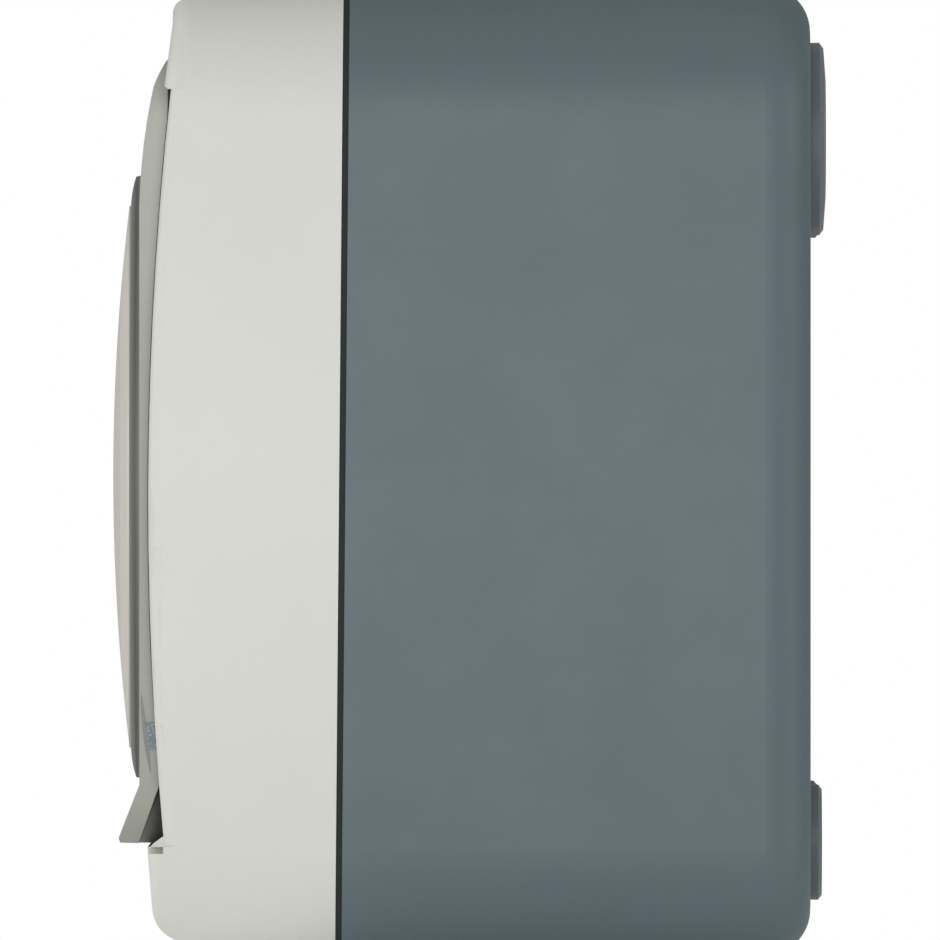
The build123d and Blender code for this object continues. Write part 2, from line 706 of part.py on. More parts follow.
def pressure_rollers():
    """Idle rollers that press the card to the feed rollers."""
    return roller_pair(PRESSURE_ROLLER_RADIUS, PRESSURE_SHAFT_RADIUS, PRESSURE_Y)


def pressure_shaft():
    """Steel shaft of the idle rollers."""
    return rod_x(PRESSURE_SHAFT_RADIUS, (-64, 64), PRESSURE_Y, FEED_Z)


def gear_spacing():
    """Distance between the feed gear's and the pinion's axes."""
    return GEAR_MODULE * (FEED_TEETH + PINION_TEETH) / 2


def involute(base, radius):
    """Angle of the involute of a base circle at a radius."""
    ratio = math.sqrt((radius / base) ** 2 - 1)
    return ratio - math.atan(ratio)


def gear(teeth, x_span, y, z, bore, phase):
    """Spur gear along X with involute flanks and a little backlash."""
    pitch = GEAR_MODULE * teeth / 2
    base = pitch * math.cos(math.radians(20))
    outer = pitch + 0.9 * GEAR_MODULE
    root = pitch - 1.2 * GEAR_MODULE
    half_tooth = math.pi / (2 * teeth) - 0.07 / pitch + involute(base, pitch)
    start = max(base, root)
    radii = [start + (outer - start) * step / 4 for step in range(5)]
    points = []
    for tooth in range(teeth):
        middle = 2 * math.pi * tooth / teeth + phase
        flank = [(radius, half_tooth - involute(base, radius)) for radius in radii]
        left = [(root, half_tooth)] if root < base else []
        left += flank
        points += [(r * math.cos(middle - a), r * math.sin(middle - a)) for r, a in left]
        points += [(r * math.cos(middle + a), r * math.sin(middle + a)) for r, a in reversed(left)]
    wheel = extrude(Plane.YZ * make_face(Polyline(*points, close=True)), x_span[1] - x_span[0])
    return Pos(x_span[0], y, z) * wheel - rod_x(bore, (x_span[0] - 1, x_span[1] + 1), y, z)


def feed_gear():
    """Gear on the feed shaft."""
    return gear(FEED_TEETH, (65, 70), FEED_Y, FEED_Z, 3, 0)


def feed_pinion():
    """Pinion cut on the end of the feed motor's shaft."""
    half_pitch = math.pi / PINION_TEETH
    y = FEED_Y + gear_spacing()
    return gear(PINION_TEETH, (65, 70), y, FEED_Z, 1.0, half_pitch) + rod_x(1.5, (51, 70.5), y, FEED_Z)


def feed_motor():
    """Stepper motor of the card feed."""
    y = FEED_Y + gear_spacing()
    body = rod_x(11.5, (44, 61), y, FEED_Z)
    body += block((59.5, 61), (y - 8, y + 8), (FEED_Z - 17, FEED_Z + 17))
    return body - rod_x(1.5 + RUN, (50, 63), y, FEED_Z)


def carriage_motor():
    """Stepper motor of the print carriage."""
    body = rod_z(11, PULLEY_X, BELT_Y, (ROD_Z - 24, ROD_Z - 7))
    body += block((PULLEY_X - 17, 61), (BELT_Y - 8, BELT_Y + 8), (ROD_Z - 8.5, ROD_Z - 7))
    return body - rod_z(1.5 + RUN, PULLEY_X, BELT_Y, (ROD_Z - 20, ROD_Z))


def pulley(x, bore):
    """Belt pulley with flanges."""
    wheel = rod_z(PULLEY_RADIUS, x, BELT_Y, (ROD_Z - 4, ROD_Z + 4))
    for z in (ROD_Z - 4.8, ROD_Z + 4):
        wheel += rod_z(PULLEY_RADIUS + 1.5, x, BELT_Y, (z, z + 0.8))
    return wheel - rod_z(bore, x, BELT_Y, (ROD_Z - 8, ROD_Z + 8))


def drive_pulley():
    """Pulley moulded on the carriage motor's shaft."""
    return pulley(PULLEY_X, 1.0) + rod_z(1.5, PULLEY_X, BELT_Y, (ROD_Z - 19, ROD_Z + 6))


def idler_pulley():
    """Pulley at the belt's other end."""
    return pulley(-PULLEY_X, 2 + RUN)


def idler_bracket():
    """Bracket and post of the idler pulley."""
    plate = block((-61, -PULLEY_X + 6), (BELT_Y - 8, BELT_Y + 8), (ROD_Z - 8.5, ROD_Z - 7))
    return plate + rod_z(2, -PULLEY_X, BELT_Y, (ROD_Z - 7, ROD_Z + 7))


def carriage_belt():
    """Toothed belt around both pulleys, drawn smooth."""
    inner = PULLEY_RADIUS + 0.3
    outer = inner + 1.1
    loop = SlotCenterToCenter(2 * PULLEY_X, 2 * outer) - SlotCenterToCenter(2 * PULLEY_X, 2 * inner)
    plane = Plane(origin=(0, BELT_Y, ROD_Z - 3))
    return extrude(plane * loop, 6)


# Electronics


def main_board():
    """Main circuit board across the back."""
    board = block((-66, 66), (BOARD_FRONT, BOARD_BACK), (52, 156))
    for x, z in BOARD_CORNERS:
        board -= rod_y(1.6, x, (45, 55), z)
    return board


def board_pillars():
    """Pillars between the rear wall and the board."""
    pillars = []
    for x, z in BOARD_CORNERS:
        pillar = rod_y(4, x, (BOARD_BACK, REAR_FACE - WALL), z)
        pillars.append(pillar - rod_y(1.5, x, (BOARD_BACK - 1, BOARD_BACK + 8), z))
    return group(pillars)


def board_screws():
    """Pan-head screws that hold the board."""
    screws = []
    for x, z in BOARD_CORNERS:
        screw = rod_y(3, x, (BOARD_FRONT - 2, BOARD_FRONT), z)
        screws.append(screw + rod_y(1.45, x, (BOARD_FRONT, BOARD_BACK + 7), z))
    return group(screws)


def logic_chips():
    """Processor, memory and driver chips."""
    places = ((-10, 110, 11), (22, 112, 7), (22, 92, 7), (-38, 112, 6))
    y_span = (BOARD_FRONT - 2.2, BOARD_FRONT)
    return group(block((x - half, x + half), y_span, (z - half, z + half)) for x, z, half in places)


def capacitors():
    """Electrolytic capacitors."""
    places = ((-48, 74), (-36, 74), (-24, 74), (46, 120))
    return group(rod_y(4.5, x, (BOARD_FRONT - 12, BOARD_FRONT), z) for x, z in places)


def power_transformer():
    """Laminated transformer on the tray."""
    core = block((-52, -14), (26, 46), (12, 44))
    return core + block((-46, -20), (22, 49.5), (18, 38))


def power_inlet():
    """Low-voltage inlet in the rear wall."""
    body = rod_y(4.9, 0, (60, REAR_FACE), BUMPER_Z)
    body -= rod_y(3.2, 0, (64, 80), BUMPER_Z)
    return body + rod_y(1.0, 0, (63, 73), BUMPER_Z)


def build_nodes():
    """Every piece by its node name."""
    makers = [
        front_cover, rear_housing, seam_gasket, hanger_bosses, wall_bumpers, rear_feet, front_feet,
        lid_shell, lip_grip, hinge_pin, bezel_ring, dome_ring, lens,
        dial_plate, movement_case, hour_hand, minute_hand,
        display_module, display_glass, key_board,
        lock_body, lock_core, lock_cam, lock_keeper,
        card_throat, chute_front, chute_rear,
        side_plates, chassis_tray, guide_rods, carriage, print_head, ribbon_shell, ribbon, platen_bar,
        feed_shaft, feed_rollers, feed_gear, feed_pinion, feed_motor, pressure_shaft, pressure_rollers,
        carriage_motor, drive_pulley, idler_pulley, idler_bracket, carriage_belt,
        main_board, board_pillars, board_screws, logic_chips, capacitors, power_transformer, power_inlet,
    ]
    nodes = {maker.__name__: maker() for maker in makers}
    for name, x in KEY_XS.items():
        nodes[name] = set_key(x)
    nodes["supply_spool"] = ribbon_spool(-1)
    nodes["take_up_spool"] = ribbon_spool(1)
    return nodes


os.makedirs("parts", exist_ok=True)
for node_name, shape in build_nodes().items():
    export_step(shape, f"parts/{node_name}.step")
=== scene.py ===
"""Studio view of a punch time clock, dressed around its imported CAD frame. Lengths are metres."""

import json
import math

import bmesh
import bpy
from mathutils import Matrix, Vector


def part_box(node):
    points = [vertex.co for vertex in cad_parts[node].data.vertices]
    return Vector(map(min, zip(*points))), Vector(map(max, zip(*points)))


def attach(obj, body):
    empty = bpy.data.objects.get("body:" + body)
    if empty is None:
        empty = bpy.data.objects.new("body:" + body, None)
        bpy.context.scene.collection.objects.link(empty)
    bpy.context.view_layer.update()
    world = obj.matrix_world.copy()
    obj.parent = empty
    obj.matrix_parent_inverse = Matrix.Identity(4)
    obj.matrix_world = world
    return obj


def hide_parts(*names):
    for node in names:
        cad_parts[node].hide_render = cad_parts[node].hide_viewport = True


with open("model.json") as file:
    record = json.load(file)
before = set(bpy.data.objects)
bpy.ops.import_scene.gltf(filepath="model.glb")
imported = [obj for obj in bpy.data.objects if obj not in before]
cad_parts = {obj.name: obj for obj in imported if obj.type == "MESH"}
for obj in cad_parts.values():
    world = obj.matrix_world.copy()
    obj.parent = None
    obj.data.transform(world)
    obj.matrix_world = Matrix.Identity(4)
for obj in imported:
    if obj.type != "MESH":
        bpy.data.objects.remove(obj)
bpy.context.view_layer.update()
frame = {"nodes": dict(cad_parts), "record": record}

# The view is square on to the case's side, and at true scale on the plane x = TRUE_SCALE_X.
CAMERA_DISTANCE = 9.0
TRUE_SCALE_X = 0.06
VIEW_HEIGHT = 0.2068
VIEW_CENTRE_Z = 0.1091
SENSOR = 36.0
FLOOR_RADIUS = 0.42
FLOOR_GAP = 0.0002

# Heights and depths between which a finish changes from one tone to another: painted light on the lid's
# upper part, painted shade in the grip and in the middle of the ring's cove.
LID_PAINTED_LIGHT_Z = (0.125, 0.175)
GRIP_SHADE_Y = (-0.0735, -0.0685)
RING_FRONT_Y = (-0.0749, -0.0741)
RING_BACK_Y = (-0.0734, -0.0726)

# Dial printing: radii are from the dial's axis, bars are (width, length), and a lift is off the dial's face.
TRACK_RADIUS = 0.0385
HOUR_BAR = (0.0015, 0.0052)
MINUTE_BAR = (0.0006, 0.0026)
BAR_DEPTH = 0.00016
BAR_LIFT = 0.00006
NUMERAL_RADIUS = 0.0275
NUMERAL_HEIGHT = 0.0082
NUMERAL_DEPTH = 0.00006
NUMERAL_WEIGHT = 0.00012
NUMERAL_LIFT = 0.00007

# The lens: a spherical cap on a flat flange.
LENS_SPHERE = 0.5
LENS_THICKNESS = 0.0016
FLANGE_THICKNESS = 0.001
FLANGE_WIDTH = 0.00185

# Display figures.
FIGURE_HEIGHT = 0.0066
FIGURE_WIDTH = 0.0034
FIGURE_STROKE = 0.0007
FIGURE_DEPTH = 0.0001
FIGURE_LIFT = 0.00004
FIGURE_XS = (-0.0105, -0.0045, 0.0045, 0.0105)
COLON_ZS = (-0.0015, 0.0015)

# Details on the lid's flanks: (y, z) points, and how thick and how bevelled each plate is.
# The dark crescents are thin plates of painted shadow on the lid's flanks.
SHADOW_CRESCENT_TIPS = ((-0.0721, 0.0600), (-0.0700, 0.0424))
SHADOW_CRESCENT_BULGES = (0.00065, -0.00035)
SHADOW_CRESCENT_THICKNESS = 0.00012
SHADOW_CRESCENT_BEVEL = 0.00004
CATCH_OUTLINE = ((-0.0714, 0.0537), (-0.0686, 0.0537), (-0.0684, 0.0477), (-0.0709, 0.0477))
CATCH_THICKNESS = 0.0003
CATCH_BEVEL = 0.0001

# The cover's bowed front edge, as (y, z) points, and the black bead, a painted shadow line, that lies along
# it.
BOW_FOOT = Vector((-0.0672, 0.029))
BOW_MIDDLE = Vector((-0.0705, 0.1047))
BOW_TOP = Vector((-0.0655, 0.1927))
SHADOW_BEAD_START = 0.12
SHADOW_BEAD_WEDGE_START = 0.97
SHADOW_BEAD_PROUD = 0.0002
SHADOW_BEAD_ROOT = 0.0012
SHADOW_BEAD_INNER = 0.00015
SHADOW_BEAD_OUTER = 0.0006


# Materials

def srgb(red, green, blue):
    """Linear colour from display values between 0 and 255."""
    channels = (value / 255 for value in (red, green, blue))
    return tuple(((c + 0.055) / 1.055) ** 2.4 if c > 0.04 else c / 12.92 for c in channels) + (1.0,)


def tinted(colour, factor):
    """A lighter or darker version of a linear colour."""
    return tuple(min(1.0, channel * factor) for channel in colour[:3]) + (1.0,)


class Recipe:
    """A node material being built: keeps the tree and the shader at hand."""

    def __init__(self, name):
        self.material = bpy.data.materials.new(name)
        self.material.use_nodes = True
        self.tree = self.material.node_tree
        self.shader = self.tree.nodes["Principled BSDF"]
        self.coords = self.tree.nodes.new("ShaderNodeTexCoord").outputs["Object"]

    def add(self, kind, **inputs):
        """A new node, with its inputs set by name."""
        node = self.tree.nodes.new(kind)
        for key, value in inputs.items():
            node.inputs[key.replace("_", " ")].default_value = value
        return node

    def link(self, source, target):
        self.tree.links.new(source, target)

    def position(self, axis):
        """One coordinate of the shaded point in the object's own space."""
        split = self.add("ShaderNodeSeparateXYZ")
        self.link(self.coords, split.inputs["Vector"])
        return split.outputs[axis]

    def noise(self, scale, detail=2.0, roughness=0.5, stretch=(1, 1, 1)):
        """Noise between 0 and 1, stretched along the axes if asked."""
        mapping = self.add("ShaderNodeMapping", Scale=stretch)
        self.link(self.coords, mapping.inputs["Vector"])
        node = self.add("ShaderNodeTexNoise", Scale=scale, Detail=detail, Roughness=roughness)
        self.link(mapping.outputs["Vector"], node.inputs["Vector"])
        return node.outputs["Fac"]

    def ramp(self, value, low, high, low_at=0.35, high_at=0.65):
        """A value remapped to run from low to high as it goes from low_at to high_at."""
        node = self.add("ShaderNodeMapRange")
        node.inputs["From Min"].default_value = low_at
        node.inputs["From Max"].default_value = high_at
        node.inputs["To Min"].default_value = low
        node.inputs["To Max"].default_value = high
        self.link(value, node.inputs["Value"])
        return node.outputs["Result"]

    def blend(self, factor, first, second):
        """A mix of two colours, each given as a value or as a socket."""
        node = self.tree.nodes.new("ShaderNodeMix")
        node.data_type = "RGBA"
        for socket, value in ((node.inputs[0], factor), (node.inputs[6], first), (node.inputs[7], second)):
            if hasattr(value, "is_linked"):
                self.link(value, socket)
            else:
                socket.default_value = value
        return node.outputs[2]

    def bump(self, height, strength, distance, under=None):
        """A bumped normal, on top of another one if given."""
        node = self.add("ShaderNodeBump", Strength=strength, Distance=distance)
        self.link(height, node.inputs["Height"])
        if under is not None:
            self.link(under, node.inputs["Normal"])
        return node.outputs["Normal"]

    def wire(self, colour, roughness, normal=None):
        """Join the finished sockets to the shader and hand over the material."""
        for key, value in (("Base Color", colour), ("Roughness", roughness), ("Normal", normal)):
            if value is not None:
                self.link(value, self.shader.inputs[key])
        return self.material


def moulded(name, colour, roughness, mottle=0.035, coat=0.0, painted_light_colour=None):
    """Moulded plastic: fine spark texture, slight flow mottling, dust speckle and rubbed patches.

    Its colour may be painted paler towards its top, as painted light where light falls on it.
    """
    depth = 0.00004
    r = Recipe(name)
    flow = r.noise(14.0, 3.0, 0.55, (1, 1, 0.6))
    speckle = r.noise(3200.0, 1.0, 0.4)
    rubbed = r.noise(38.0, 5.0, 0.7)
    base = r.blend(r.ramp(flow, 0.0, 1.0, 0.3, 0.7), tinted(colour, 1 - mottle), tinted(colour, 1 + mottle))
    # Painted light: the colour turns paler towards the top, where light falls on it.
    if painted_light_colour is not None:
        base = r.blend(r.ramp(r.position("Z"), 0.0, 1.0, *LID_PAINTED_LIGHT_Z), base, painted_light_colour)
    base = r.blend(r.ramp(speckle, 0.0, 0.16, 0.6, 0.75), base, tinted(colour, 0.72))
    rough = r.ramp(rubbed, roughness + 0.05, roughness - 0.045)
    fine = r.bump(r.noise(2600.0, 2.0, 0.6), 0.35, depth)
    coarse = r.bump(r.noise(260.0, 2.0, 0.5), 0.12, depth * 4, fine)
    r.shader.inputs["Specular IOR Level"].default_value = 0.42
    r.shader.inputs["Coat Weight"].default_value = coat
    return r.wire(base, rough, coarse)


def rubber(name, colour, roughness=0.75):
    """Matt rubber with bloom and a pitted surface."""
    r = Recipe(name)
    bloom = r.noise(60.0, 4.0, 0.6)
    base = r.blend(r.ramp(bloom, 0.0, 0.5), colour, tinted(colour, 2.2))
    pits = r.bump(r.noise(1800.0, 3.0, 0.7), 0.5, 0.00008)
    return r.wire(base, r.ramp(bloom, roughness, roughness + 0.15), pits)


def metal(name, colour, roughness=0.3, grain=(1, 1, 60), tarnish=0.12):
    """Metal with drawn grain, fine scratches and faint staining."""
    r = Recipe(name)
    drawn = r.noise(240.0, 3.0, 0.6, grain)
    stain = r.noise(45.0, 4.0, 0.6)
    base = r.blend(r.ramp(stain, 0.0, 1.0), colour, tinted(colour, 1 - tarnish))
    r.shader.inputs["Metallic"].default_value = 1.0
    return r.wire(base, r.ramp(drawn, roughness - 0.08, roughness + 0.12), r.bump(drawn, 0.15, 0.00003))


def spangled(name, colour):
    """Zinc-plated sheet with a crystalline spangle."""
    r = Recipe(name)
    cells = r.add("ShaderNodeTexVoronoi", Scale=260.0)
    r.link(r.coords, cells.inputs["Vector"])
    facets = r.ramp(cells.outputs["Distance"], 0.0, 1.0, 0.0, 0.8)
    tone = r.blend(facets, tinted(colour, 0.86), tinted(colour, 1.12))
    r.shader.inputs["Metallic"].default_value = 1.0
    return r.wire(tone, r.ramp(r.noise(90.0), 0.32, 0.5), r.bump(r.noise(700.0), 0.12, 0.00003))


def printed_dial(name, colour):
    """Printed dial: a warm white with paper-fine tooth and patches of slight ageing."""
    r = Recipe(name)
    tooth = r.noise(2400.0, 2.0, 0.6)
    age = r.noise(22.0, 3.0, 0.5)
    base = r.blend(r.ramp(age, 0.0, 0.6), colour, srgb(236, 230, 214))
    return r.wire(base, r.ramp(tooth, 0.42, 0.55), r.bump(tooth, 0.15, 0.00002))


def clear_plastic(name, haze):
    """Clear acrylic with hairline wear, hazy where it is seen along its surface."""
    r = Recipe(name)
    hair = r.noise(900.0, 2.0, 0.5, (1, 1, 12))
    facing = r.add("ShaderNodeLayerWeight", Blend=0.5).outputs["Facing"]
    clear = r.ramp(facing, 1.0, 0.0, 0.8, 0.92)
    r.link(clear, r.shader.inputs["Transmission Weight"])
    r.shader.inputs["IOR"].default_value = 1.45
    base = r.blend(clear, haze, (0.95, 0.965, 0.96, 1.0))
    return r.wire(base, r.ramp(clear, 0.4, 0.03, 0.0, 1.0), r.bump(hair, 0.02, 0.00001))


def shaded_grip(name, near, far):
    """Rubber grip whose colour deepens from the lip towards the case, as painted shade in the hollow behind
    the lip.
    """
    r = Recipe(name)
    # Painted shade: the colour darkens across the grip towards the case.
    across = r.ramp(r.position("Y"), 0.0, 1.0, *GRIP_SHADE_Y)
    pits = r.noise(1800.0, 3.0, 0.7)
    return r.wire(r.blend(across, near, far), r.ramp(pits, 0.6, 0.75), r.bump(pits, 0.4, 0.00006))


def banded(name, deep, edge):
    """Satin ring plastic with painted shade, darkest in the middle of its depth where its cove lies in
    shade, and paler towards its front and back.
    """
    r = Recipe(name)
    # Painted shade: a dark band in the middle of the ring's depth.
    front = r.ramp(r.position("Y"), 1.0, 0.0, *RING_FRONT_Y)
    back = r.ramp(r.position("Y"), 0.0, 1.0, *RING_BACK_Y)
    away = r.add("ShaderNodeMath")
    away.operation = "ADD"
    r.link(front, away.inputs[0])
    r.link(back, away.inputs[1])
    grain = r.noise(2600.0, 2.0, 0.6)
    base = r.blend(away.outputs[0], deep, edge)
    return r.wire(base, r.ramp(grain, 0.48, 0.56), r.bump(grain, 0.3, 0.00003))


def speckled(name, colour, fleck):
    """Satin plastic with pale and dark flecks, as on a worn catch."""
    r = Recipe(name)
    spots = r.noise(1500.0, 2.0, 0.75)
    worn = r.noise(420.0, 4.0, 0.7)
    base = r.blend(r.ramp(worn, 0.0, 1.0, 0.4, 0.65), tinted(colour, 0.8), tinted(colour, 1.15))
    base = r.blend(r.ramp(spots, 0.0, 0.9, 0.58, 0.68), base, fleck)
    return r.wire(base, r.ramp(worn, 0.4, 0.6), r.bump(spots, 0.4, 0.00005))


def circuit_board(name):
    """Green solder mask with faint copper tracks under it."""
    r = Recipe(name)
    bricks = r.add("ShaderNodeTexBrick", Scale=220.0)
    upright = r.add("ShaderNodeMapping", Rotation=(math.pi / 2, 0, 0))
    r.link(r.coords, upright.inputs["Vector"])
    r.link(upright.outputs["Vector"], bricks.inputs["Vector"])
    base = r.blend(bricks.outputs["Fac"], srgb(16, 84, 46), srgb(40, 122, 70))
    return r.wire(base, r.ramp(r.noise(80.0), 0.22, 0.38), r.bump(bricks.outputs["Fac"], 0.2, 0.00003))


def woven_ribbon(name):
    """Inked nylon ribbon."""
    r = Recipe(name)
    weave = r.add("ShaderNodeTexWave", Scale=900.0)
    r.link(r.coords, weave.inputs["Vector"])
    base = r.blend(weave.outputs["Fac"], srgb(18, 14, 34), srgb(40, 34, 66))
    return r.wire(base, r.ramp(r.noise(300.0), 0.55, 0.75), r.bump(weave.outputs["Fac"], 0.4, 0.00004))


def liquid_crystal(name):
    """Grey-green display film behind its window."""
    r = Recipe(name)
    film = r.noise(40.0, 2.0, 0.4)
    base = r.blend(r.ramp(film, 0.0, 1.0), srgb(158, 170, 142), srgb(170, 181, 152))
    return r.wire(base, r.ramp(r.noise(500.0), 0.12, 0.2), r.bump(r.noise(900.0), 0.03, 0.00001))


MATERIALS = {
    "cover_plastic": moulded("cover_plastic", srgb(219, 221, 214), 0.5, mottle=0.015),
    "housing_plastic": moulded("housing_plastic", srgb(93, 109, 114), 0.46, mottle=0.012),
    # The lid's upper part is painted paler, as painted light.
    "lid_plastic": moulded("lid_plastic", srgb(166, 167, 160), 0.48, mottle=0.02, painted_light_colour=srgb(180, 181, 174)),
    # Painted shade: the ring's cove is darkest in the middle of its depth.
    "bezel_plastic": banded("bezel_plastic", srgb(96, 100, 95), srgb(136, 139, 132)),
    "dome_plastic": moulded("dome_plastic", srgb(234, 231, 221), 0.38, mottle=0.015, coat=0.1),
    "clear_lens": clear_plastic("clear_lens", srgb(222, 219, 209)),
    # Painted shade: the grip darkens towards the case.
    "grip_rubber": shaded_grip("grip_rubber", srgb(136, 137, 130), srgb(58, 63, 58)),
    "gasket_rubber": rubber("gasket_rubber", srgb(34, 36, 36)),
    "boss_plastic": moulded("boss_plastic", srgb(110, 117, 121), 0.42),
    "foot_rubber": rubber("foot_rubber", srgb(36, 37, 38)),
    "dial_white": printed_dial("dial_white", srgb(240, 239, 233)),
    "black_plastic": moulded("black_plastic", srgb(38, 39, 41), 0.42),
    "display_glass": liquid_crystal("display_glass"),
    "key_grey": moulded("key_grey", srgb(112, 120, 124), 0.4),
    "key_green": moulded("key_green", srgb(62, 132, 86), 0.4),
    "key_red": moulded("key_red", srgb(158, 58, 50), 0.4),
    "steel": metal("steel", srgb(196, 197, 200), 0.26, (60, 1, 1)),
    "zinc_sheet": spangled("zinc_sheet", srgb(186, 189, 192)),
    "chrome_lock": metal("chrome_lock", srgb(206, 207, 210), 0.16, (1, 30, 30), 0.06),
    "hand_black": moulded("hand_black", srgb(26, 27, 29), 0.3),
    "white_acetal": moulded("white_acetal", srgb(226, 225, 218), 0.34),
    "roller_rubber": rubber("roller_rubber", srgb(44, 44, 46), 0.62),
    "motor_can": moulded("motor_can", srgb(62, 64, 68), 0.34),
    "ribbon_ink": woven_ribbon("ribbon_ink"),
    "circuit_board": circuit_board("circuit_board"),
    "brass": metal("brass", srgb(196, 164, 96), 0.24, (30, 30, 1)),
}
CATCH_FINISH = speckled("catch_speckle", srgb(128, 141, 146), srgb(206, 210, 208))


def dress_cad_nodes():
    """Give every CAD node its slot's finish."""
    for part in frame["record"]["subparts"]:
        node = frame["nodes"][part["node"]]
        material = MATERIALS[part["material_slot"]]
        if not node.material_slots:
            node.data.materials.append(None)
        for slot in node.material_slots:
            slot.material = material


# Pieces added to the CAD

def piece(name, mesh_data, slot, body, finish=None):
    """Put a finished mesh in the scene as a piece that rides on a body."""
    mesh_data.materials.append(finish or MATERIALS[slot])
    made = bpy.data.objects.new(name, mesh_data)
    bpy.context.scene.collection.objects.link(made)
    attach(made, body)
    return made


def centre_of(node):
    """Middle of a CAD node's box."""
    low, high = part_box(node)
    return (Vector(low) + Vector(high)) / 2


def add_bar(work, centre, size, turn=None):
    """Add a softly bevelled bar to a mesh, turned about the dial's axis if asked."""
    made = bmesh.ops.create_cube(work, size=1.0)
    verts = made["verts"]
    bmesh.ops.scale(work, vec=size, verts=verts)
    edges = list({edge for vert in verts for edge in vert.link_edges})
    made = bmesh.ops.bevel(work, geom=edges, offset=min(size) * 0.3, segments=2, affect="EDGES", profile=0.6)
    verts = list({vert for face in made["faces"] for vert in face.verts} | {v for v in verts if v.is_valid})
    bmesh.ops.translate(work, vec=centre, verts=verts)
    if turn is not None:
        bmesh.ops.rotate(work, cent=turn[0], matrix=turn[1], verts=verts)


def mesh_from(work, name):
    """Close a bmesh into mesh data."""
    data = bpy.data.meshes.new(name)
    bmesh.ops.recalc_face_normals(work, faces=work.faces)
    work.to_mesh(data)
    work.free()
    return data


def dial_track():
    """Sixty minute bars, longer and wider on the hours, printed proud of the dial."""
    middle = centre_of("dial_plate")
    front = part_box("dial_plate")[0][1]
    work = bmesh.new()
    for minute in range(60):
        width, length = HOUR_BAR if minute % 5 == 0 else MINUTE_BAR
        radius = TRACK_RADIUS - length / 2
        turn = Matrix.Rotation(math.radians(6 * minute), 3, "Y")
        place = Vector((middle.x, front - BAR_LIFT, middle.z + radius))
        add_bar(work, place, (width, BAR_DEPTH, length), (Vector((middle.x, 0, middle.z)), turn))
    piece("dial_track", mesh_from(work, "dial_track"), "hand_black", "cover")


def dial_numerals():
    """The numerals one to twelve."""
    middle = centre_of("dial_plate")
    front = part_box("dial_plate")[0][1]
    for hour in range(1, 13):
        text = bpy.data.curves.new(f"numeral_{hour}", "FONT")
        text.body = str(hour)
        text.size = NUMERAL_HEIGHT
        text.extrude = NUMERAL_DEPTH
        text.offset = NUMERAL_WEIGHT
        text.align_x = "CENTER"
        text.align_y = "CENTER"
        text.resolution_u = 4
        holder = bpy.data.objects.new("numeral_source", text)
        bpy.context.scene.collection.objects.link(holder)
        bpy.context.view_layer.update()
        data = bpy.data.meshes.new_from_object(holder)
        bpy.data.objects.remove(holder)
        angle = math.radians(30 * hour)
        place = Vector((middle.x + NUMERAL_RADIUS * math.sin(angle), front - NUMERAL_LIFT,
                        middle.z + NUMERAL_RADIUS * math.cos(angle)))
        data.transform(Matrix.Translation(place) @ Matrix.Rotation(math.pi / 2, 4, "X"))
        data.name = f"dial_numeral_{hour}"
        piece(f"dial_numeral_{hour}", data, "hand_black", "cover")


def turned(name, profile, origin, slot, body, steps=64):
    """Turn a profile of (radius, y) points about an axis along Y through an origin."""
    work = bmesh.new()
    verts = [work.verts.new((radius, y, 0)) for radius, y in profile]
    edges = [work.edges.new(pair) for pair in zip(verts, verts[1:])]
    bmesh.ops.spin(work, geom=verts + edges, cent=(0, 0, 0), axis=(0, 1, 0), angle=2 * math.pi, steps=steps)
    bmesh.ops.remove_doubles(work, verts=work.verts, dist=1e-6)
    bmesh.ops.translate(work, vec=origin, verts=work.verts)
    data = mesh_from(work, name)
    data.shade_smooth()
    data.set_sharp_from_angle(angle=math.radians(35))
    return piece(name, data, slot, body)


def lens_window():
    """Clear lens with two even spherical faces and a flange, in the place of the CAD lens."""
    low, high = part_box("lens")
    flange = (high[0] - low[0]) / 2
    rim = flange - FLANGE_WIDTH
    inner = rim - LENS_THICKNESS
    seat = high[1] - FLANGE_THICKNESS
    rings = 20

    def cap(radius, apex):
        """Depth of the spherical face at a radius."""
        return apex + LENS_SPHERE - math.sqrt(LENS_SPHERE ** 2 - radius ** 2)

    profile = [(rim * step / rings, cap(rim * step / rings, low[1])) for step in range(rings + 1)]
    profile += [(rim, seat), (flange, seat), (flange, high[1]), (inner, high[1])]
    under = low[1] + LENS_THICKNESS
    profile += [(inner * step / rings, cap(inner * step / rings, under)) for step in range(rings, -1, -1)]
    middle = centre_of("lens")
    window = turned("lens_window", profile, Vector((middle.x, 0, middle.z)), "clear_lens", "lid", 128)
    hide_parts("lens")


def hand_cap():
    """Domed brass cap on the minute arbor."""
    middle = centre_of("dial_plate")
    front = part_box("minute_hand")[0][1]
    dome = ((0.0, 0.0009), (0.0009, 0.00082), (0.0016, 0.0005), (0.0019, 0.0), (0.0, 0.0))
    profile = [(radius, front - proud) for radius, proud in dome]
    turned("hand_cap", profile, Vector((middle.x, 0, middle.z)), "brass", "minute", 32)


SEGMENTS = {"0": "abcdef", "1": "bc"}


